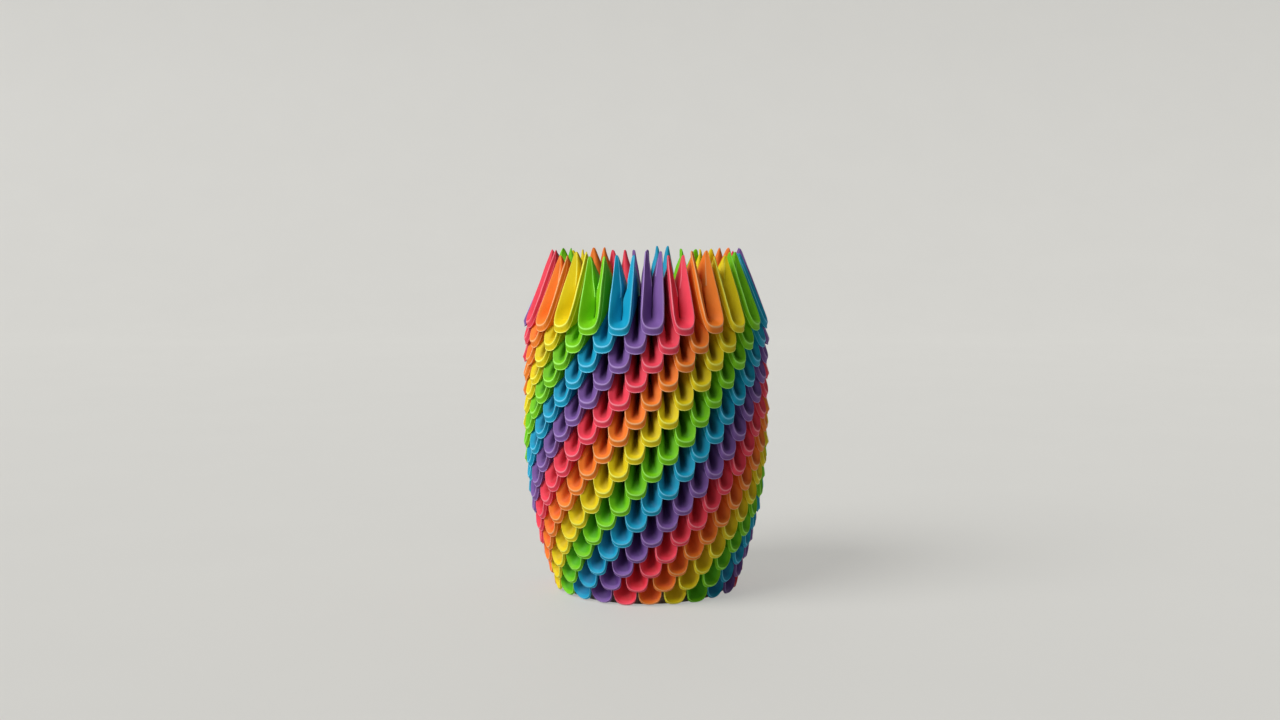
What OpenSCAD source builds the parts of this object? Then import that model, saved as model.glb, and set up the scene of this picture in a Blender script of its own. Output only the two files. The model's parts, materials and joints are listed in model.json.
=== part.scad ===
// Pen holder of folded paper units: rings of identical units, each ring's legs pushed into the
// pockets of the ring above. Millimetres, +Z up, origin at the centre of the foot.

/* [Rings] */
// Rings, from the table to the rim
rings = 17; // [6:1:24]
// Climb from the lowest ring to the next, along the wall
first_step = 4.85; // [4.2:0.05:6]
// How much longer each further climb is
step_growth = 0.043; // [0:0.001:0.06]
// Turn of the whole holder, which sets the units that face the front
front_turn = 2.4; // [0:0.1:15]

/* [Wall] */
// Radius of the belly, at the noses
belly_r = 38.5; // [34:0.5:48]
// Radius of the foot, at the noses
foot_r = 28.2; // [26:0.2:34]
// Height from which the wall stands straight
belly_z = 52; // [40:1:70]
// Lean of a unit's rim against the wall, inwards
rim_lean = 13.5; // [12:0.5:16]
// The same in the top ring, which nothing holds up from above
top_lean = 21.8; // [18:0.2:26]

/* [Unit] */
// Short side of the folded triangle
side = 18; // [16.5:0.1:19]
// Thickness of a leg's folded layers at the nose, with other legs inside it
leg_t = 1.65; // [1.5:0.05:1.8]
// The same in the lowest ring, where the pockets are empty
first_leg_t = 0.9; // [0.8:0.05:1]
// Thickness of a leg at its tip
tip_t = 0.4; // [0.3:0.05:0.5]
// Space left between a unit's two legs at their inner ends, where flaps are folded in
flap_slit = 1; // [0.6:0.1:1.2]
// Room between a leg and the pocket that it is in
pocket_gap = 0.04; // [0.03:0.01:0.06]

/* [Foot] */
// Thickness of the board disc that closes the foot
disc_t = 3.5; // [2:0.1:4.5]
// Gap between the disc's edge and the lowest ring
disc_gap = 0.2; // [0.05:0.05:0.5]

/* [Hidden] */
$fn = 48;
NODES = [
    "purple_spiral_1", "pink_spiral_1", "orange_spiral_1",
    "yellow_spiral_1", "green_spiral_1", "blue_spiral_1",
    "purple_spiral_2", "pink_spiral_2", "orange_spiral_2",
    "yellow_spiral_2", "green_spiral_2", "blue_spiral_2",
    "purple_spiral_3", "pink_spiral_3", "orange_spiral_3",
    "yellow_spiral_3", "green_spiral_3", "blue_spiral_3",
    "purple_spiral_4", "pink_spiral_4", "orange_spiral_4",
    "yellow_spiral_4", "green_spiral_4", "blue_spiral_4",
    "base_disc"
];

// One colour for each spiral in turn, as the units run to the right around a ring
PAPERS = ["#7d5c9e", "#ee5566", "#f58a45", "#e6d01c", "#78c81c", "#2aa0c4"];

// Step where a leg meets the trough, left by the crease
crease = 0.1;

// Units in each ring, one for each spiral
units = len(NODES) - 1;
unit_turn = 360 / units;
// A unit's two legs stand this far to each side of its middle, so that every second ring's
// legs share one upright plane through the axis
leg_turn = unit_turn / 4;

// The wall is an arc from the foot up to the belly, then straight
arc_in = belly_r - foot_r;
arc_r = (belly_z * belly_z + arc_in * arc_in) / (2 * arc_in);
foot_slope = asin(belly_z / arc_r);
arc_length = arc_r * foot_slope * PI / 180;

// Way along the wall from the table to ring k, and the wall's slope, radius and height there
function way(k) = first_step * k + step_growth * k * (k - 1) / 2;
function slope(k) = max(0, foot_slope - way(k) / arc_r * 180 / PI);
function wall_r(k) = belly_r - arc_r * (1 - cos(slope(k)));
function wall_z(k) = belly_z - arc_r * sin(slope(k)) + max(0, way(k) - arc_length);

// Lean of ring k's rims against the wall, which grows over the last few rings
function lean(k) = rim_lean + (top_lean - rim_lean) * pow(k / (rings - 1), 6);
// Rise of a unit's spine, from the nose towards the axis
function spine_rise(k) = 45 - lean(k) + slope(k);
// Each ring has one more leg inside its own, up to the full thickness
function spine_t(k) = leg_t - (leg_t - first_leg_t) * pow(0.55, k);
// Half the width of a unit between the middles of its legs, x outwards along the spine from
// the nose and p up from the spine
function half_gap(k, x, p) =
    (wall_r(k) + x * cos(spine_rise(k)) + p * sin(spine_rise(k))) * tan(leg_turn);
// Height of the trough's middle line above the spine
function trough_p(k) = half_gap(k, 0, spine_t(k)) + spine_t(k) / 2;
// Thickness of a leg over the spine's inner end, where the folded flaps narrow the trough
function flap_t(k) = 2 * half_gap(k, -side, trough_p(k)) - flap_slit;
// A leg's growth in thickness along the spine, and its thinning from the trough to the tip
function thicken(k) = (flap_t(k) - spine_t(k)) / side;
function thin(k) = (flap_t(k) - tip_t) / (side - trough_p(k));

// Moves a unit from its own axes, nose at the origin and spine along -X, to its ring
module at_ring(k) {
    translate([wall_r(k), 0, wall_z(k)])
        rotate([0, spine_rise(k), 0])
            children();
}

// The folded triangle seen from the side, from nose to spine end to tip, grown all round
module side_form(k, grow = 0) {
    corner = grow * (1 + sqrt(2));
    at_ring(k)
        rotate([90, 0, 0])
            linear_extrude(4 * side, center = true)
                polygon([[corner, -grow], [-side - grow, -grow], [-side - grow, side + corner]]);
}

// One side of a leg as everything behind a plane, which leans in towards the tip and the nose
module leg_side(k, grow) {
    out = thicken(k) / 2;
    up = thin(k) / 2;
    big = 4 * side;
    translate([0, (spine_t(k) - crease) / 2 + grow, trough_p(k)])
        rotate([atan(up / sqrt(1 + out * out)), 0, -atan(out)])
            translate([-big / 2, -big, -big / 2])
                cube(big);
}

// One leg of ring k as a wedge that thins to its tip, grown by a gap where it cuts a pocket
module leg(k, hand, grow = 0) {
    low = trough_p(k) - crease;
    rotate([0, 0, hand * leg_turn])
        at_ring(k)
            intersection() {
                rotate([90, 0, 0])
                    linear_extrude(4 * side, center = true)
                        polygon([[2, low], [-side - 2, low], [-side - 2, side + 2]]);
                leg_side(k, grow);
                mirror([0, 1, 0])
                    leg_side(k, grow);
            }
}

// The round bottom that joins a unit's two legs along the spine
module trough(k) {
    p = trough_p(k);
    in_r = half_gap(k, -side - 1, p);
    out_r = half_gap(k, 1, p);
    in_t = spine_t(k) + thicken(k) * (side + 1);
    out_t = spine_t(k) - thicken(k);
    at_ring(k)
        translate([-side - 1, 0, p])
            difference() {
                rotate([0, 90, 0])
                    cylinder(h = side + 2, r1 = in_r + in_t / 2, r2 = out_r + out_t / 2);
                rotate([0, 90, 0])
                    cylinder(h = side + 2, r1 = in_r - in_t / 2, r2 = out_r - out_t / 2);
                translate([-1, -2 * side, 0])
                    cube([side + 4, 4 * side, 2 * side]);
            }
}

// The space that a leg of the ring below takes up, with room around it
module pocket(k, hand) {
    intersection() {
        rotate([0, 0, 2 * hand * leg_turn])
            side_form(k - 1, pocket_gap);
        leg(k - 1, hand, pocket_gap);
    }
}

// One folded unit of ring k, facing +X
module unit(k) {
    difference() {
        intersection() {
            side_form(k);
            union() {
                leg(k, 1);
                leg(k, -1);
                trough(k);
            }
        }
        if (k > 0) {
            pocket(k, 1);
            pocket(k, -1);
        }
    }
}

// The units of one colour, stepping half a unit to the left for each ring down
module spiral(n) {
    color(PAPERS[n % len(PAPERS)])
        for (k = [0 : rings - 1])
            rotate([0, 0, front_turn + n * unit_turn - (rings - 1 - k) * unit_turn / 2 - 90])
                unit(k);
}

// The board that closes the foot, thick enough to reach the spines of the lowest ring from a
// little behind the noses, so that it is out of sight
module base_disc() {
    color("#6b665e")
        cylinder(h = disc_t, r = foot_r - disc_t / tan(spine_rise(0)) - disc_gap);
}

for (n = [0 : units - 1])
    spiral(n);
base_disc();
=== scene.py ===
"""Looks of the folded paper pen holder: 24 spirals of folded units, a board disc and a plain stage.

The units follow the same rules as the part's solids, so each sits where its solid is. The solids'
flat legs and round trough become one folded sheet with soft creases, a rounded rim with a chin
under it and, in the top ring, flaps that stand open.
"""

import json
import math
import random
from collections import namedtuple

import bmesh
import bpy
from bpy.props import FloatProperty, FloatVectorProperty, IntProperty, PointerProperty
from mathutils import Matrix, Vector

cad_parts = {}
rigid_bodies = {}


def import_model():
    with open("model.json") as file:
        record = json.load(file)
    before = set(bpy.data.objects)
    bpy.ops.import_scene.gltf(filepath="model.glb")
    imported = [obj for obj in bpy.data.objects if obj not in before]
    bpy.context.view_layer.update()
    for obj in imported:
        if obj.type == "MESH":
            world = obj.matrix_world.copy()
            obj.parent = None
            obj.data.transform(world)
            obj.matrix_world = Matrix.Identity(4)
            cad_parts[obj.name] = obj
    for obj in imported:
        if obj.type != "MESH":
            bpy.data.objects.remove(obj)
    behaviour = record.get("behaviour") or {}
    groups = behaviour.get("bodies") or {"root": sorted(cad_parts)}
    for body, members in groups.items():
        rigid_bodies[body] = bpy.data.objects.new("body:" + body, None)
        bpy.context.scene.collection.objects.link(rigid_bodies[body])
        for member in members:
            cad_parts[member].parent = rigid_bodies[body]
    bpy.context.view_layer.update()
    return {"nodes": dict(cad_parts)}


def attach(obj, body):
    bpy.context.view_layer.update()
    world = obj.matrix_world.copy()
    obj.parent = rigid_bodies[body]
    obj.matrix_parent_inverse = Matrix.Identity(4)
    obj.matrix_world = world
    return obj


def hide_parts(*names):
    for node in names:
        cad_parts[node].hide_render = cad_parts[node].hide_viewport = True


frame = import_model()

bl_info = {
    "name": "Folded paper pen holder",
    "version": (1, 0, 0),
    "blender": (4, 5, 0),
    "location": "3D View > Sidebar > Pen Holder",
    "description": "Folds the paper units of a pen holder and sets them on a plain stage",
    "category": "Object",
}

MM = 0.001
# One paper for each spiral in turn, as the units run to the right around a ring
PAPERS = ("purple", "pink", "orange", "yellow", "green", "blue")


def linear(hex_colour):
    """sRGB hex to linear RGB."""
    channels = [int(hex_colour[i : i + 2], 16) / 255 for i in (1, 3, 5)]
    return [c / 12.92 if c <= 0.04045 else ((c + 0.055) / 1.055) ** 2.4 for c in channels]


def count_prop(name, description, default):
    """A whole number."""
    return IntProperty(name=name, description=description, default=default)


def share_prop(name, description, default):
    """A plain number, such as a share or a strength."""
    return FloatProperty(name=name, description=description, default=default)


def size_prop(name, description, default):
    """A length, given in mm."""
    return FloatProperty(
        name=name, description=description, default=default * MM, unit="LENGTH", precision=5
    )


def angle_prop(name, description, default):
    """An angle, given in degrees."""
    return FloatProperty(
        name=name, description=description, default=math.radians(default), subtype="ANGLE"
    )


def colour_prop(name, description, default):
    """A colour, given in sRGB hex."""
    return FloatVectorProperty(
        name=name,
        description=description,
        default=linear(default),
        subtype="COLOR",
        size=3,
        min=0,
        max=1,
    )


class PenHolderSizes(bpy.types.PropertyGroup):
    """The wall, the rings and the folded unit, as in the part, and the play between units."""

    units: count_prop("Units", "Units in each ring, one for each spiral", 24)
    rings: count_prop("Rings", "Rings, from the table to the rim", 17)
    first_step: size_prop("First step", "Climb from the lowest ring to the next", 4.85)
    step_growth: size_prop("Step growth", "How much longer each further climb is", 0.043)
    front_turn: angle_prop("Front turn", "Turn of the whole holder", 2.4)
    belly_r: size_prop("Belly radius", "Radius of the belly, at the noses", 38.5)
    foot_r: size_prop("Foot radius", "Radius of the foot, at the noses", 28.2)
    belly_z: size_prop("Belly height", "Height from which the wall stands straight", 52)
    rim_lean: angle_prop("Rim lean", "Lean of a unit's rim against the wall", 13.5)
    top_lean: angle_prop("Top lean", "The same in the top ring", 21.8)
    side: size_prop("Side", "Short side of the folded triangle", 18)
    leg_t: size_prop("Leg thickness", "Thickness of a leg's folded layers at the nose", 1.65)
    first_leg_t: size_prop("First leg thickness", "The same in the lowest ring", 0.9)
    tip_t: size_prop("Tip thickness", "Thickness of a leg at its tip", 0.4)
    flap_slit: size_prop("Flap slit", "Space between a unit's legs at their inner ends", 1.0)
    nose_w: size_prop("Nose width", "Half the width of a nose at its rim", 3.0)
    nose_spread: size_prop("Nose spread", "How much wider a nose opens with empty pockets", 1.0)
    top_nose_w: size_prop("Top nose width", "Half the width of a nose in the top ring", 3.1)
    tip_w: size_prop("Tip width", "Half the usual distance between a top unit's tips", 2.2)
    tip_play: size_prop("Tip play", "How far hand-folded tips stand from that", 0.7)
    first_full: share_prop("First filling", "How far the lowest ring's folds are spread", 0.3)
    tilt_play: angle_prop("Tilt play", "How far hand-set units tilt from true", 1.5)
    shift_play: size_prop("Shift play", "How far hand-set units sit from true", 0.2)
    size_play: share_prop("Size play", "Share by which units differ in size", 0.04)
    wobble: size_prop("Wobble", "How uneven the folded walls are", 0.5)
    rounding: count_prop("Rounding", "How often the folded walls are divided and rounded", 1)
    top_folds: count_prop("Top folds", "Ways in which the top units' legs came out", 7)
    seed: count_prop("Seed", "Seed of the play between units", 11)


class PenHolderPapers(bpy.types.PropertyGroup):
    """Colours of the six papers and of the board."""

    purple: colour_prop("Purple", "Purple paper", "#7d5c9e")
    pink: colour_prop("Pink", "Coral pink paper", "#ee5566")
    orange: colour_prop("Orange", "Orange paper", "#f58a45")
    yellow: colour_prop("Yellow", "Lemon yellow paper", "#e6d01c")
    green: colour_prop("Green", "Lime green paper", "#78c81c")
    blue: colour_prop("Blue", "Turquoise blue paper", "#2aa0c4")
    board: colour_prop("Board", "Grey board of the disc", "#6b665e")


class PenHolderStage(bpy.types.PropertyGroup):
    """Floor, light and camera."""

    floor: colour_prop("Floor", "Colour of the floor", "#bdbcb7")
    key: share_prop("Key light", "Strength of the soft light at the upper left", 3.0)
    key_from: FloatVectorProperty(
        name="Key from",
        description="Direction that the key light comes from",
        default=(-0.62, -0.39, 0.68),
        subtype="DIRECTION",
    )
    softness: angle_prop("Key softness", "Width of the key light as the holder sees it", 40)
    fill: share_prop("Fill light", "Strength of the even light all round", 0.08)
    room: share_prop("Room", "How pale the room looks past the floor", 0.61)
    camera_y: size_prop("Camera distance", "Distance of the camera in front of the axis", 470)
    camera_x: size_prop("Camera side step", "Distance of the camera left of the axis", 1.9)
    camera_z: size_prop("Camera height", "Height of the camera above the table", 117)
    pitch: angle_prop("Camera pitch", "How far the camera looks down", 5.6)
    focal: share_prop("Focal length", "Focal length on a 36 mm wide sensor, in mm", 42.64)


# ---------------------------------------------------------------- ring and folded wall, in metres

# Of the layers that the lowest ring lacks, and of the room that is empty in its pockets, this share
# is left with each ring up
LAYERS_LACKED = 0.55
ROOM_LEFT = 0.86
# The rims' lean grows with this power of the ring's place
LEAN_POWER = 6
# Share of their shade that slits just under the top ring keep, because light gets in from above
OPEN_SHADE = 0.6

# The folded wall in section, from the inner end of the hollow's face over the rim to the inner end
# of the outer face. Depth behind the rim and height over the spine are those under the nose, and
# depth_beside and width from the middle those at its sides, all in mm where the pockets are full.
# Then come shares: how sharp the crease along the point is, how round it runs about the trough
# (1 is a circle, less is squarer), how pale the paper is painted there, partly for cracked dye and
# partly as a painted highlight along the rim, and how deep it lies in the hollow, which sets the
# painted shade and the painted bounce light there.
# The first and last points take depth and width from the leg's inner end instead.
WallPoint = namedtuple("WallPoint", "depth height depth_beside width crease roundness worn hollow")
WALL = (
    WallPoint(None, 2.45, None, None, 1.0, 0.6, 0.0, 1.0),
    WallPoint(1.3, 2.2, 1.75, 0.7, 0.0, 0.4, 0.0, 1.0),
    WallPoint(0.85, 2.08, 1.2, 0.84, 0.9, 0.4, 0.0, 0.7),
    WallPoint(0.45, 2.04, 0.6, 1.75, 0.0, 0.55, 0.0, 0.25),
    WallPoint(0.22, 2.0, 0.3, 2.17, 0.0, 0.62, 0.0, 0.2),
    WallPoint(0.0, 1.97, 0.0, 2.6, 0.3, 0.7, 0.0, 0.15),
    WallPoint(-0.45, 1.85, -0.25, 3.0, 0.9, 0.8, 0.6, 0.0),
    WallPoint(-0.36, 1.5, -0.08, 3.13, 0.6, 0.8, 0.6, 0.0),
    WallPoint(0.3, 0.85, 0.7, 3.2, 0.0, 0.52, 0.0, 0.0),
    WallPoint(0.98, -0.2, 1.8, 3.29, 0.7, 0.44, 0.0, 0.0),
    WallPoint(0.9, -0.38, 1.75, 3.37, 0.8, 0.44, 0.0, 0.0),
    WallPoint(1.5, -0.42, 3.0, 3.3, 0.0, 0.5, 0.0, 0.5),
    WallPoint(None, 0.0, None, None, 1.0, 0.8, 0.0, 0.5),
)
INNER, DEEP, SLIT, THROAT, FLAP = range(5)
RIM, UNDER_RIM, CHIN, OUTER = 6, 7, 9, len(WALL) - 1
# Strips of the wall from these points to the next are folds, painted pale: partly cracked dye,
# partly a painted highlight along the edge
LINES = {RIM: 1.0, CHIN: 0.9}
# How far up a leg the wall's shape is set, from the trough (0) to the tip (1). Only the first part
# of a leg shows in the lower rings, and the rest is inside the unit above.
LEG_STATIONS = (0.08, 0.2, 0.5)
TOP_LEG_STATIONS = (0.1, 0.25, 0.4, 0.55, 0.75, 0.9, 1.0)
TROUGH_STATIONS = 7

# All rings, sizes in mm. The trough's middle is this much higher than in the solids where the
# pockets are full, and a leg ends at this share of the way to its sharp tip.
TROUGH_LIFT = 0.5
BLUNT_TIP = 0.985
# Least depth of a leg, and of half its thickness
LEAST_REACH, LEAST_HALF = 0.2, 0.3
# The walls of a nose go in to this share of the leg's depth at most
DEEPEST = 0.45
# With empty pockets, the hollow goes in further by this and the wall runs rounder by this
EMPTY_DEPTH = 3.7
EMPTY_ROUNDNESS = 0.3
# How far a leg steps back where the unit above hides it, with empty and full pockets, how far it
# then goes sideways into that unit's wall, and the share of this way that it takes
EMPTY_PULL, FULL_PULL = 8, 3
EMPTY_SINK, FULL_SINK = 0.1, 1.0
SINK_SHARE = 0.85

# The top ring. Ranges for the share of a leg's height at which the two legs part and for the share
# of its depth at which its flaps' raw edges lie, then how crumpled those are in mm, close to the
# parting and elsewhere.
PARTING = (0.27, 0.55)
FLAP_AT = (0.3, 0.45)
CLOSE_TO_PARTING = 0.16
CRUMPLED, SMOOTH = 0.8, 0.25
# Half the gap where two legs touch, in mm, and the share of the tips' distance to which they part
TOUCHING = 0.02
PARTED = 0.85
# Neighbours' legs lie this far apart in mm up to this share of their height, and then part
BESIDE_GAP = 0.12
BESIDE_TO, BESIDE_FADE = 0.35, 0.5
# How far from the rim to the raw edges the points of the open hollow lie
OPEN_HOLLOW = {DEEP: 1.0, SLIT: 0.97, THROAT: 0.85, FLAP: 0.42}
# How far the flap stands off its leg, in mm, and how much more it is crumpled than its raw edge
FLAP_LIFT, FLAP_CRUMPLE = 0.42, 1.5
# How far the outer layers stand off in mm, and the share of the wall that is gone at the tip
LAYERS_OFF, TIP_THINNING = 0.2, 0.85

# How much of the light in a hollow is second-hand, with empty and full pockets and in the top ring
EMPTY_HOLLOW, FULL_HOLLOW = 2.2, 0.3
TOP_HOLLOW = 0.4
# Least share of the slits' shade in a ring with empty pockets
LEAST_SHADE = 0.55
# Shade of the line where a top unit's legs touch, which fades out just over the parting
TOUCH_SHADE = {INNER: 1, DEEP: 1, SLIT: 0.7}
SHADE_OVER, SHADE_FADE = 0.1, 2.5
# How pale the raw edges of the flaps are painted: partly the cut paper, partly a painted highlight
RAW_EDGE = 0.9


def ease(x):
    """Smooth step from 0 to 1."""
    x = min(max(x, 0.0), 1.0)
    return x * x * (3 - 2 * x)


class Ring:
    """Ring k of the holder: where its noses are, and the folded unit's own sizes there."""

    def __init__(self, s, k):
        self.k, self.side, self.tip_t = k, s.side, s.tip_t
        self.top = k == s.rings - 1
        self.dark = OPEN_SHADE if k == s.rings - 2 else 1
        arc_in = s.belly_r - s.foot_r
        arc_r = (s.belly_z**2 + arc_in**2) / (2 * arc_in)
        foot_slope = math.asin(s.belly_z / arc_r)
        way = s.first_step * k + s.step_growth * k * (k - 1) / 2
        slope = max(0, foot_slope - way / arc_r)
        self.r = s.belly_r - arc_r * (1 - math.cos(slope))
        self.z = s.belly_z - arc_r * math.sin(slope) + max(0, way - arc_r * foot_slope)
        lean = s.rim_lean + (s.top_lean - s.rim_lean) * (k / (s.rings - 1)) ** LEAN_POWER
        self.rise = math.radians(45) - lean + slope
        self.leg_turn = math.tau / s.units / 4
        self.spine_t = s.leg_t - (s.leg_t - s.first_leg_t) * LAYERS_LACKED**k
        self.trough = self.half_gap(0, self.spine_t) + self.spine_t / 2
        flap_t = 2 * self.half_gap(-s.side, self.trough) - s.flap_slit
        self.thicken = (flap_t - self.spine_t) / s.side
        self.thin = (flap_t - s.tip_t) / (s.side - self.trough)
        # how far legs from below fill this ring's pockets and spread its folds
        self.full = 1 - (1 - s.first_full) * ROOM_LEFT**k
        # thin units open wider, until they meet their neighbours
        wider = s.nose_spread * (1 - self.full) ** 2
        self.nose_w = s.top_nose_w if self.top else s.nose_w + wider

    def fold_by_hand(self, s, draw):
        """Draws how one of the top units came out: its tips, how far up its legs touch, and the
        raw edges of its flaps."""
        self.tips = {hand: s.tip_w + draw.uniform(-1, 1) * s.tip_play for hand in (-1, 1)}
        self.parting = draw.uniform(*PARTING)
        self.flap_at = draw.uniform(*FLAP_AT)
        self.crumple = {}
        for hand in (-1, 1):
            for up in TOP_LEG_STATIONS:
                most = CRUMPLED if abs(up - self.parting) < CLOSE_TO_PARTING else SMOOTH
                self.crumple[hand, up] = draw.uniform(-most, most) * MM
        return self

    def half_gap(self, x, p):
        """Half the width between the legs' middles, x out along the spine and p up from it."""
        out = self.r + x * math.cos(self.rise) + p * math.sin(self.rise)
        return out * math.tan(self.leg_turn)

    def leg_t(self, x, p):
        """Thickness of a leg there."""
        return max(self.tip_t, self.spine_t - self.thicken * x - self.thin * (p - self.trough))

    def between(self, empty, full):
        """A value between those for empty and for full pockets."""
        return empty + (full - empty) * self.full

    def stand(self, x, y, p):
        """From the unit's spine to upright axes, with the nose at the origin."""
        c, s = math.cos(self.rise), math.sin(self.rise)
        return Vector((x * c + p * s, y, -x * s + p * c))


class Section:
    """A section through a unit's folded wall. angle turns about the trough from straight down, and
    up goes on along a leg from the trough (0) to the tip (1)."""

    def __init__(self, ring, angle, up):
        self.ring, self.angle, self.up = ring, angle, up
        self.hand = -1 if angle < 0 else 1
        self.centre = ring.trough + TROUGH_LIFT * ring.full * MM
        self.level = self.centre + up * (ring.side - self.centre) * BLUNT_TIP
        # below the top ring, a leg goes thin and steps back where the unit above hides it
        hide_from, hide_to = LEG_STATIONS[:2]
        self.hidden = 0 if ring.top else ease((up - hide_from) / (hide_to - hide_from))
        self.pull = self.hidden * ring.between(EMPTY_PULL, FULL_PULL) * MM
        self.reach = max(ring.side - self.level - self.pull, LEAST_REACH * MM)
        self.nose, self.slit, self.crumple = ring.nose_w, 0.0, 0.0
        # what shows on a leg and not on the trough comes in over the first quarter of the leg
        self.on_leg = min(1, 4 * up)
        if ring.top:
            tip = ring.tips[self.hand]
            self.nose += (tip - ring.nose_w) * up
            # the inner ends of the two legs touch and then part towards the tips
            parted = max(0, (self.level / ring.side - ring.parting) / (1 - ring.parting))
            self.slit = TOUCHING * MM + parted * PARTED * (tip - ring.tip_t / 2)
            self.crumple = ring.crumple.get((self.hand, up), 0)

    def outer_end(self):
        """Depth and width of the outer face at the leg's inner end."""
        ring = self.ring
        half = ring.half_gap(-ring.side, self.level)
        leg = ring.leg_t(-ring.side, self.level)
        width = max(half + leg / 2, self.slit + LEAST_HALF * MM)
        if ring.top:
            # folded flaps make the legs of neighbours meet there, up to half their height
            beside = 2 * half - BESIDE_GAP * MM
            width += (beside - width) * (1 - ease((self.up - BESIDE_TO) / BESIDE_FADE))
        return self.reach, width

    def open_hollow(self, i):
        """Depth and width of the hollow's face in the top ring. With nothing pushed into it, the
        hollow goes in to where the legs touch, past the raw edges of the flaps."""
        share = OPEN_HOLLOW[i]
        depth = self.reach * self.ring.flap_at * share + (self.crumple if i == SLIT else 0)
        width = self.nose + (self.slit - self.nose) * share + self.crumple * (1 - self.up)
        if i == FLAP:
            # the flap stands a little off the leg that it is folded from
            off = FLAP_LIFT * MM + FLAP_CRUMPLE * self.crumple
            width -= off * (1 - self.up) * self.on_leg
        return depth, max(width, TOUCHING * MM)

    def nose_wall(self, i):
        """Depth and width of the wall around the nose and over it."""
        ring, point = self.ring, WALL[i]
        depth = point.depth + (point.depth_beside - point.depth) * math.sin(self.angle) ** 2
        depth *= MM * (ring.full if i > RIM else 1)
        if i == DEEP:
            depth += EMPTY_DEPTH * MM * (1 - ring.full) ** 2
        # in thin walls the fold along the rim is as broad as in full ones
        spread = 1 if i in (DEEP, UNDER_RIM) else ring.full
        left = 1 - TIP_THINNING * self.up if ring.top else 1
        width = self.nose + (point.width - WALL[RIM].width) * MM * spread * left
        if ring.top and i > RIM:
            width += LAYERS_OFF * MM * self.on_leg
        return min(depth, DEEPEST * self.reach), width

    def point(self, i):
        """Point i of the wall, with the nose at the origin."""
        ring, level = self.ring, self.level
        if i == INNER:
            depth, width = self.reach, self.slit
        elif i == OUTER:
            depth, width = self.outer_end()
        elif ring.top and i in OPEN_HOLLOW:
            depth, width = self.open_hollow(i)
        else:
            depth, width = self.nose_wall(i)
        if SLIT <= i < OUTER:
            # into the wall of the unit above
            sink = ring.between(EMPTY_SINK, FULL_SINK) * MM
            above = 2 * ring.half_gap(-level, level) - self.nose + sink
            width += (above - width) * SINK_SHARE * self.hidden
        height = WALL[i].height * ring.full
        if i == UNDER_RIM:
            height = WALL[RIM].height * ring.full - (WALL[RIM].height - WALL[i].height)
        roundness = WALL[i].roundness + EMPTY_ROUNDNESS * (1 - ring.full)
        down = max(0.0, math.cos(self.angle)) ** roundness if self.up == 0 else 0.0
        aside = self.hand * abs(math.sin(self.angle)) ** roundness
        p = level - (self.centre - height * MM) * down
        return ring.stand(-p - self.pull - depth, width * aside, p)

    def hollow(self, i):
        """How much of the light at point i has been on dyed paper before."""
        hollow = min(1, WALL[i].hollow * self.ring.between(EMPTY_HOLLOW, FULL_HOLLOW))
        return hollow * TOP_HOLLOW if self.ring.top else hollow

    def shade(self, i):
        """How little light gets to point i, in the slit between legs."""
        ring = self.ring
        if ring.top:
            under = ease(SHADE_FADE * (ring.parting + SHADE_OVER - self.up))
            return under * TOUCH_SHADE.get(i, 0)
        return WALL[i].hollow * max(LEAST_SHADE, ring.full) * ring.dark


def fold_unit(ring, name):
    """One folded unit of a ring as a closed cage: a wall carried from one tip down a leg, round
    the trough and up to the other tip."""
    legs = TOP_LEG_STATIONS if ring.top else LEG_STATIONS
    around = [math.pi * (i / (TROUGH_STATIONS - 1) - 0.5) for i in range(TROUGH_STATIONS)]
    sections = [Section(ring, -math.pi / 2, up) for up in reversed(legs)]
    sections += [Section(ring, angle, 0) for angle in around]
    sections += [Section(ring, math.pi / 2, up) for up in legs]
    bm = bmesh.new()
    crease = bm.edges.layers.float.new("crease")
    fold = bm.verts.layers.float.new("fold")
    hollow = bm.verts.layers.float.new("hollow")
    shade = bm.verts.layers.float.new("shade")
    line = bm.faces.layers.float.new("line")
    loops = []
    for section in sections:
        loop = []
        for i, point in enumerate(WALL):
            # paleness, partly cracked dye and partly a painted highlight, then the masks of painted
            # bounce light and painted shade
            v = bm.verts.new(section.point(i))
            v[fold] = point.worn
            v[hollow] = section.hollow(i)
            v[shade] = section.shade(i)
            loop.append(v)
        loops.append(loop)
    for section, a, b in zip(sections, loops, loops[1:]):
        for i, point in enumerate(WALL):
            j = (i + 1) % len(WALL)
            face = bm.faces.new((a[i], a[j], b[j], b[i]))
            # raw edges of flaps show on the upper part of a top unit's legs, as pale lines that are
            # partly a painted highlight
            raw = ring.top and i == SLIT and section.up > ring.parting
            face[line] = RAW_EDGE if raw else LINES.get(i, 0)
            sharp = ring.top and i in OPEN_HOLLOW
            bm.edges.get((a[i], b[i]))[crease] = 1.0 if sharp else point.crease
    bm.faces.new(loops[0])
    bm.faces.new(list(reversed(loops[-1])))
    bmesh.ops.recalc_face_normals(bm, faces=bm.faces)
    mesh = bpy.data.meshes.new(name)
    bm.to_mesh(mesh)
    bm.free()
    return bpy.data.objects.new(mesh.name, mesh)


# ---------------------------------------------------------------- node helpers


def add(tree, kind, settings=None, **inputs):
    """Adds a node with its settings, and links or sets its inputs by name (spaces as _) or by
    number (i0, i1 and so on)."""
    node = tree.nodes.new(kind)
    for key, value in (settings or {}).items():
        setattr(node, key, value)
    for key, value in inputs.items():
        numbered = key[0] == "i" and key[1:].isdigit()
        socket = node.inputs[int(key[1:]) if numbered else key.replace("_", " ")]
        if isinstance(value, bpy.types.NodeSocket):
            tree.links.new(value, socket)
        else:
            socket.default_value = value
    return node


def maths(tree, operation, *values, clamp=False):
    """Result of a sum with numbers."""
    settings = {"operation": operation, "use_clamp": clamp}
    inputs = {f"i{i}": value for i, value in enumerate(values)}
    return add(tree, "ShaderNodeMath", settings, **inputs).outputs[0]


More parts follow.
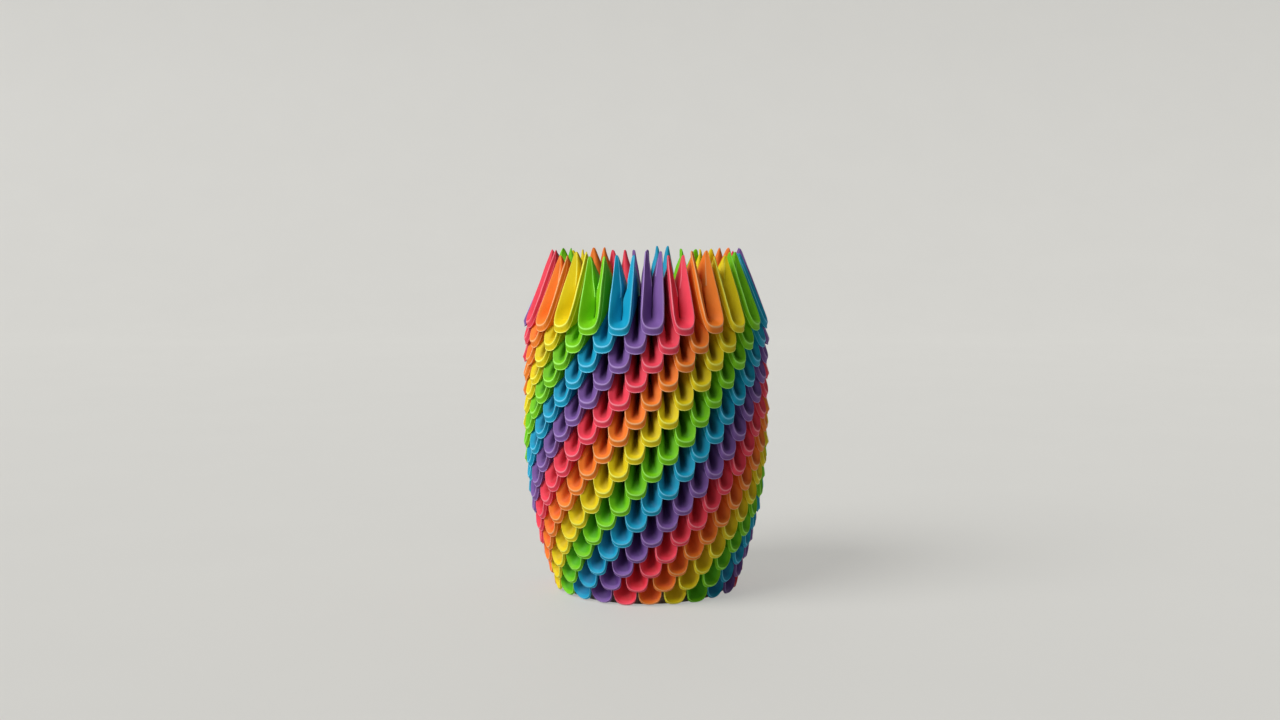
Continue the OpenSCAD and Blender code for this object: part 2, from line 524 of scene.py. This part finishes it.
def vector(tree, operation, first, second):
    """Result of a sum with vectors."""
    settings = {"operation": operation}
    return add(tree, "ShaderNodeVectorMath", settings, i0=first, i1=second).outputs[0]


def scaled(tree, value, factor):
    """A vector times a number."""
    settings = {"operation": "SCALE"}
    return add(tree, "ShaderNodeVectorMath", settings, i0=value, Scale=factor).outputs[0]


def noise(tree, width, detail):
    """Soft noise with clouds of a width in mm."""
    place = add(tree, "ShaderNodeTexCoord").outputs["Object"]
    settings = {"Vector": place, "Scale": 1 / (width * MM), "Detail": detail}
    return add(tree, "ShaderNodeTexNoise", None, **settings).outputs[0]


def stored(tree, name):
    """A value that the folded mesh carries."""
    return add(tree, "ShaderNodeAttribute", {"attribute_name": name}).outputs["Fac"]


def blend(tree, share, first, second):
    """The first colour, or by its share the second, which is linear RGB."""
    colours = {"i6": first, "i7": (*second, 1.0)}
    return add(tree, "ShaderNodeMix", {"data_type": "RGBA"}, i0=share, **colours).outputs[2]


def bumps(tree, height, strength, depth):
    """Fine relief of a depth in mm."""
    settings = {"Strength": strength, "Distance": depth * MM, "Height": height}
    return add(tree, "ShaderNodeBump", None, **settings).outputs[0]


def seen_directly(tree):
    """1 where the camera, a gloss or glass sees the surface, 0 where it only lights others."""
    path = add(tree, "ShaderNodeLightPath").outputs
    seen = maths(tree, "MAXIMUM", path["Is Camera Ray"], path["Is Glossy Ray"])
    return maths(tree, "MAXIMUM", seen, path["Is Transmission Ray"])


# ---------------------------------------------------------------- materials

# Light of the room, a little warm
ROOM_WHITE = (1.0, 0.99, 0.95, 1.0)
# Where the floor is seen, a glow takes the place of this share of its lit paleness, so that the
# shadow is as light as in a room with pale walls
FLOOR_UNLIT, FLOOR_GLOW = 0.5, 0.39


def new_material(name):
    """An empty material and its node tree."""
    material = bpy.data.materials.new(name)
    material.use_nodes = True
    material.node_tree.nodes.clear()
    return material, material.node_tree


def surface(tree, **inputs):
    """The material's one shader, with these inputs."""
    shader = add(tree, "ShaderNodeBsdfPrincipled", None, **inputs)
    add(tree, "ShaderNodeOutputMaterial", None, Surface=shader.outputs[0])


def dyed_paper(name, colour):
    """Dyed craft paper, calendered smooth. Matt, faintly cloudy from the fibres, each sheet a
    little lighter or darker, and paler along folds and rims, partly where the dyed surface is
    cracked and partly as a painted highlight. Hollows are painted darker and richer, as painted
    shade and painted bounce light."""
    material, t = new_material(name)
    # Clouds of fibres are about 0.4 mm wide, drawn at 1.2 mm so that they show
    cloud = noise(t, 1.2, 3.0)
    # Fibre ends are about 0.1 mm, drawn at 0.35 mm
    grain = noise(t, 0.35, 2.0)
    # Sheets differ by 5% in lightness to each side, and clouds of fibres by 8% in all
    value = maths(t, "MULTIPLY_ADD", stored(t, "tint"), 0.05, 0.98)
    value = maths(t, "MULTIPLY_ADD", cloud, 0.08, value)
    dye = {"Color": (*colour, 1.0), "Value": value, "Saturation": 1.05}
    dyed = add(t, "ShaderNodeHueSaturation", None, **dye).outputs[0]
    # Rims and folds are painted paler: partly the white core showing through cracked dye, partly a
    # painted highlight where their edges catch the light
    pale = [min(1.0, 0.12 + 1.5 * c) for c in colour]
    edge = maths(t, "POWER", stored(t, "fold"), 2.0, clamp=True)
    worn = maths(t, "MAXIMUM", edge, stored(t, "line"), clamp=True)
    paper = blend(t, worn, dyed, pale)
    # Painted bounce light and painted shade: light in a hollow has crossed or left dyed paper
    # before, so the colour is painted richer and darker there, and the slit between legs that
    # others fill, which hardly any light reaches, is painted darker still
    painted_bounce_and_shade = [1.05 * c**1.5 for c in colour]
    painted_shade_colour = [0.3 * c for c in painted_bounce_and_shade]
    paper = blend(t, stored(t, "hollow"), paper, painted_bounce_and_shade)
    paper = blend(t, maths(t, "POWER", stored(t, "shade"), 2.0, clamp=True), paper, painted_shade_colour)
    surface(
        t,
        Base_Color=paper,
        Roughness=0.62,
        IOR=1.45,
        Specular_IOR_Level=0.35,
        Normal=bumps(t, grain, strength=0.12, depth=0.05),
    )
    return material


def grey_board(name, colour):
    """Grey board, pressed from waste pulp: matt, flecked with darker and lighter fibres."""
    material, t = new_material(name)
    # Flecks of pulp, 0.8 mm wide
    fleck = noise(t, 0.8, 4.0)
    ramp = add(t, "ShaderNodeValToRGB", None, Fac=fleck)
    dark_fleck, light_fleck = (0.35, 1.2), (0.62, 2.0)
    for element, (place, light) in zip(ramp.color_ramp.elements, (dark_fleck, light_fleck)):
        element.position = place
        element.color = (*[light * c for c in colour], 1)
    relief = bumps(t, fleck, strength=0.2, depth=0.08)
    surface(t, Base_Color=ramp.outputs[0], Roughness=0.85, IOR=1.45, Normal=relief)
    return material


def pale_floor(name, colour):
    """Matt white table top, a little uneven."""
    material, t = new_material(name)
    # Patches 60 mm wide differ by 4% in lightness
    value = maths(t, "MULTIPLY_ADD", noise(t, 60, 2.0), 0.04, 0.98)
    seen = seen_directly(t)
    value = maths(t, "MULTIPLY_ADD", seen, -FLOOR_UNLIT, value)
    base = add(t, "ShaderNodeHueSaturation", None, Color=(*colour, 1.0), Value=value).outputs[0]
    surface(
        t,
        Base_Color=base,
        Roughness=0.7,
        Emission_Color=ROOM_WHITE,
        Emission_Strength=maths(t, "MULTIPLY", seen, FLOOR_GLOW),
    )
    return material


# ---------------------------------------------------------------- the spiral's node tree

# Width of the unevenness in the folded walls, in mm
WOBBLE_WIDTH = 3.0
# Between the seed of the units' turns and that of their other play
SEED_STEP = 100
SPIRAL_INPUTS = (
    ("Noses", "NodeSocketGeometry"),
    ("Units", "NodeSocketCollection"),
    ("Paper", "NodeSocketMaterial"),
    ("Top Fold", "NodeSocketInt"),
    ("Tilt Play", "NodeSocketFloat"),
    ("Shift Play", "NodeSocketFloat"),
    ("Size Play", "NodeSocketFloat"),
    ("Wobble", "NodeSocketFloat"),
    ("Rounding", "NodeSocketInt"),
    ("Seed", "NodeSocketInt"),
)


def play(tree, seed, most):
    """A random vector for each unit, up to most each way."""
    limits = {"i0": (-1, -1, -1), "i1": (1, 1, 1)}
    kind = {"data_type": "FLOAT_VECTOR"}
    drawn = add(tree, "FunctionNodeRandomValue", kind, Seed=seed, **limits).outputs[0]
    return scaled(tree, drawn, most)


def pick_unit(tree, noses, top_fold):
    """Number of the unit for each nose: its ring's own, and for the last nose, which is the top
    ring's, one of several."""
    index = add(tree, "GeometryNodeInputIndex").outputs[0]
    size = add(
        tree, "GeometryNodeAttributeDomainSize", {"component": "POINTCLOUD"}, Geometry=noses
    )
    # half-way between the numbers of the last two noses
    before_last = maths(tree, "SUBTRACT", size.outputs["Point Count"], 1.5)
    last = maths(tree, "GREATER_THAN", index, before_last)
    return maths(tree, "MULTIPLY_ADD", last, top_fold, index)


def spiral_tree():
    """Sets a ring's own unit at each nose of a spiral, facing out, with a little play, and rounds
    it."""
    tree = bpy.data.node_groups.new("folded_unit_spiral", "GeometryNodeTree")
    for name, kind in SPIRAL_INPUTS:
        tree.interface.new_socket(name, in_out="INPUT", socket_type=kind)
    tree.interface.new_socket("Spiral", in_out="OUTPUT", socket_type="NodeSocketGeometry")
    given = tree.nodes.new("NodeGroupInput").outputs
    noses = add(tree, "GeometryNodeMeshToPoints", None, Mesh=given["Noses"]).outputs[0]
    here = add(tree, "GeometryNodeInputPosition").outputs[0]
    next_seed = maths(tree, "ADD", given["Seed"], SEED_STEP)

    place = add(tree, "ShaderNodeSeparateXYZ", None, Vector=here).outputs
    facing = maths(tree, "ARCTAN2", place["Y"], place["X"])
    face = add(tree, "ShaderNodeCombineXYZ", None, Z=facing).outputs[0]
    turn = vector(tree, "ADD", play(tree, given["Seed"], given["Tilt Play"]), face)
    size = vector(tree, "ADD", play(tree, next_seed, given["Size Play"]), (1, 1, 1))
    choice = add(
        tree,
        "GeometryNodeCollectionInfo",
        None,
        Collection=given["Units"],
        Separate_Children=True,
    ).outputs[0]
    units = add(
        tree,
        "GeometryNodeInstanceOnPoints",
        None,
        Points=noses,
        Instance=choice,
        Pick_Instance=True,
        Instance_Index=pick_unit(tree, noses, given["Top Fold"]),
        Rotation=add(tree, "FunctionNodeEulerToRotation", None, Euler=turn).outputs[0],
        Scale=size,
    ).outputs[0]
    units = add(
        tree,
        "GeometryNodeTranslateInstances",
        None,
        Instances=units,
        Translation=play(tree, next_seed, given["Shift Play"]),
        Local_Space=True,
    ).outputs[0]
    # each sheet is a little lighter or darker
    sheet = add(
        tree, "FunctionNodeRandomValue", {"data_type": "FLOAT"}, i2=-1.0, i3=1.0, Seed=next_seed
    ).outputs[1]
    units = add(
        tree,
        "GeometryNodeStoreNamedAttribute",
        {"data_type": "FLOAT", "domain": "INSTANCE"},
        Geometry=units,
        Name="tint",
        Value=sheet,
    ).outputs[0]
    whole = add(tree, "GeometryNodeRealizeInstances", None, Geometry=units).outputs[0]

    # no two units are folded quite alike
    clouds = {"Scale": 1 / (WOBBLE_WIDTH * MM), "Detail": 1.0}
    uneven = add(tree, "ShaderNodeTexNoise", None, **clouds).outputs["Color"]
    uneven = scaled(tree, vector(tree, "SUBTRACT", uneven, (0.5, 0.5, 0.5)), given["Wobble"])
    whole = add(tree, "GeometryNodeSetPosition", None, Geometry=whole, Offset=uneven).outputs[0]
    # the lowest units stand on the table and press flat there
    spot = vector(tree, "MAXIMUM", here, (-1, -1, 0))
    whole = add(tree, "GeometryNodeSetPosition", None, Geometry=whole, Position=spot).outputs[0]
    crease = add(
        tree, "GeometryNodeInputNamedAttribute", {"data_type": "FLOAT"}, Name="crease"
    ).outputs[0]
    whole = add(
        tree,
        "GeometryNodeSubdivisionSurface",
        None,
        Mesh=whole,
        Level=given["Rounding"],
        Edge_Crease=crease,
    ).outputs[0]
    whole = add(tree, "GeometryNodeSetShadeSmooth", None, i0=whole).outputs[0]
    paper = given["Paper"]
    whole = add(tree, "GeometryNodeSetMaterial", None, Geometry=whole, Material=paper).outputs[0]
    tree.links.new(whole, tree.nodes.new("NodeGroupOutput").inputs[0])
    return tree


def set_inputs(modifier, values):
    """Sets a modifier's named inputs by their sockets' identifiers."""
    for item in modifier.node_group.interface.items_tree:
        if item.in_out == "INPUT" and item.name in values:
            modifier[item.identifier] = values[item.name]


# ---------------------------------------------------------------- operators

# Steps between the top folds of neighbouring spirals, so that no two neighbours are alike
TOP_FOLD_STEP = 3
# A spiral with fewer faces to a unit than this has come out wrong
LEAST_UNIT_FACES = 100

# The table in metres: its reach in front, behind and to each side of the holder, then the radius of
# its sweep up into the backdrop, the steps in that sweep, and the backdrop's height
TABLE_FRONT, TABLE_BACK, TABLE_SIDE = 3.0, 0.9, 4.0
SWEEP_R, SWEEP_STEPS = 0.6, 16
BACKDROP_Z = 4.0

SENSOR_WIDTH = 36.0


def nose_places(s, rings, n):
    """Noses of spiral n, which step half a unit to the left for each ring down."""
    unit_turn = math.tau / s.units
    places = []
    for ring in rings:
        back = (s.rings - 1 - ring.k) * unit_turn / 2
        a = s.front_turn + n * unit_turn - back - math.pi / 2
        places.append((ring.r * math.cos(a), ring.r * math.sin(a), ring.z))
    return places


def clear_collection(collection):
    """Removes a collection with its objects and their meshes."""
    for part in list(collection.objects):
        mesh = part.data
        bpy.data.objects.remove(part)
        bpy.data.meshes.remove(mesh)
    bpy.data.collections.remove(collection)


class PENHOLDER_OT_spirals(bpy.types.Operator):
    """Fold the paper units and set them in their spirals"""

    bl_idname = "penholder.spirals"
    bl_label = "Paper spirals"

    def execute(self, context):
        s = context.scene.pen_holder_sizes
        papers = context.scene.pen_holder_papers
        rings = [Ring(s, k) for k in range(s.rings)]
        draw = random.Random(s.seed)
        tops = [Ring(s, s.rings - 1).fold_by_hand(s, draw) for _ in range(s.top_folds)]
        units = bpy.data.collections.new("folded_units")
        for i, ring in enumerate(rings[:-1] + tops):
            units.objects.link(fold_unit(ring, f"unit_{i:02d}"))
        tree = spiral_tree()
        paper_of = {
            name: dyed_paper(f"{name}_dyed_paper", getattr(papers, name)) for name in PAPERS
        }
        for n in range(s.units):
            colour = PAPERS[n % len(PAPERS)]
            node = f"{colour}_spiral_{n // len(PAPERS) + 1}"
            if node not in frame["nodes"]:
                raise RuntimeError(f"the frame has no node {node}")
            noses = bpy.data.meshes.new("noses")
            noses.from_pydata(nose_places(s, rings, n), [], [])
            spiral = bpy.data.objects.new(f"{node}_folded", noses)
            context.scene.collection.objects.link(spiral)
            modifier = spiral.modifiers.new("spiral", "NODES")
            modifier.node_group = tree
            values = {
                "Units": units,
                "Paper": paper_of[colour],
                "Top Fold": n * TOP_FOLD_STEP % s.top_folds,
                "Tilt Play": s.tilt_play,
                "Shift Play": s.shift_play,
                "Size Play": s.size_play,
                "Wobble": s.wobble,
                "Rounding": s.rounding,
                "Seed": s.seed + n,
            }
            set_inputs(modifier, values)
            folded = spiral.evaluated_get(context.evaluated_depsgraph_get())
            mesh = bpy.data.meshes.new_from_object(folded)
            if len(mesh.polygons) < s.rings * LEAST_UNIT_FACES:
                raise RuntimeError(f"{node} came out with {len(mesh.polygons)} faces")
            spiral.modifiers.clear()
            spiral.data = mesh
            bpy.data.meshes.remove(noses)
            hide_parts(node)
            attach(spiral, "root")
        clear_collection(units)
        bpy.data.node_groups.remove(tree)
        return {"FINISHED"}


class PENHOLDER_OT_disc(bpy.types.Operator):
    """Give the disc in the foot its grey board"""

    bl_idname = "penholder.disc"
    bl_label = "Board disc"

    def execute(self, context):
        board = grey_board("grey_pressed_board", context.scene.pen_holder_papers.board)
        disc = frame["nodes"]["base_disc"]
        disc.data.materials.clear()
        disc.data.materials.append(board)
        return {"FINISHED"}


class PENHOLDER_OT_stage(bpy.types.Operator):
    """Set the floor, the soft light and the camera"""

    bl_idname = "penholder.stage"
    bl_label = "Stage"

    def execute(self, context):
        scene = context.scene
        s = scene.pen_holder_stage
        self.set_floor(scene, s)
        self.set_light(scene, s)
        self.set_camera(scene, s)
        scene.view_settings.view_transform = "Standard"
        return {"FINISHED"}

    def set_floor(self, scene, s):
        """A table that sweeps up into the backdrop, so that no edge shows behind the holder."""
        profile = [(-TABLE_FRONT, 0.0), (TABLE_BACK, 0.0)]
        for i in range(1, SWEEP_STEPS + 1):
            a = i * math.pi / 2 / SWEEP_STEPS
            profile.append((TABLE_BACK + SWEEP_R * math.sin(a), SWEEP_R - SWEEP_R * math.cos(a)))
        profile.append((TABLE_BACK + SWEEP_R, BACKDROP_Z))
        count = len(profile)
        mesh = bpy.data.meshes.new("floor")
        mesh.from_pydata(
            [(x, y, z) for x in (-TABLE_SIDE, TABLE_SIDE) for y, z in profile],
            [],
            [(i, count + i, count + i + 1, i + 1) for i in range(count - 1)],
        )
        mesh.shade_smooth()
        mesh.materials.append(pale_floor("matt_white_table", s.floor))
        floor = bpy.data.objects.new("floor", mesh)
        scene.collection.objects.link(floor)

    def set_light(self, scene, s):
        """A soft key light, in a room that lights the holder dimly and looks as pale as the floor
        where it is seen."""
        world = bpy.data.worlds.new("soft_room")
        scene.world = world
        world.use_nodes = True
        t = world.node_tree
        t.nodes.clear()
        level = maths(t, "MULTIPLY_ADD", seen_directly(t), s.room - s.fill, s.fill)
        light = add(t, "ShaderNodeBackground", None, Color=ROOM_WHITE, Strength=level)
        add(t, "ShaderNodeOutputWorld", None, Surface=light.outputs[0])

        lamp = bpy.data.lights.new("key", "SUN")
        lamp.energy, lamp.angle = s.key, s.softness
        key = bpy.data.objects.new("key", lamp)
        key.rotation_euler = (-Vector(s.key_from)).to_track_quat("-Z", "Y").to_euler()
        scene.collection.objects.link(key)

    def set_camera(self, scene, s):
        """A camera in front of the holder that looks a little down."""
        lens = bpy.data.cameras.new("camera")
        lens.sensor_width = SENSOR_WIDTH
        lens.lens = s.focal
        camera = bpy.data.objects.new("camera", lens)
        camera.location = (-s.camera_x, -s.camera_y, s.camera_z)
        camera.rotation_euler = (math.pi / 2 - s.pitch, 0, 0)
        scene.collection.objects.link(camera)
        scene.camera = camera


class PENHOLDER_PT_sidebar(bpy.types.Panel):
    """Pen holder"""

    bl_idname = "PENHOLDER_PT_sidebar"
    bl_label = "Folded paper pen holder"
    bl_space_type = "VIEW_3D"
    bl_region_type = "UI"
    bl_category = "Pen Holder"

    def draw(self, context):
        for operator in OPERATORS:
            self.layout.operator(operator.bl_idname)
        for name, group in GROUPS:
            box = self.layout.box()
            for value in group.__annotations__:
                box.prop(getattr(context.scene, name), value)


OPERATORS = (PENHOLDER_OT_spirals, PENHOLDER_OT_disc, PENHOLDER_OT_stage)
GROUPS = (
    ("pen_holder_sizes", PenHolderSizes),
    ("pen_holder_papers", PenHolderPapers),
    ("pen_holder_stage", PenHolderStage),
)


def register():
    for name, group in GROUPS:
        bpy.utils.register_class(group)
        setattr(bpy.types.Scene, name, PointerProperty(type=group))
    for operator in OPERATORS:
        bpy.utils.register_class(operator)
    bpy.utils.register_class(PENHOLDER_PT_sidebar)


def unregister():
    bpy.utils.unregister_class(PENHOLDER_PT_sidebar)
    for operator in reversed(OPERATORS):
        bpy.utils.unregister_class(operator)
    for name, group in reversed(GROUPS):
        delattr(bpy.types.Scene, name)
        bpy.utils.unregister_class(group)


def main():
    register()
    bpy.ops.penholder.spirals()
    bpy.ops.penholder.disc()
    bpy.ops.penholder.stage()


if __name__ == "__main__":
    main()
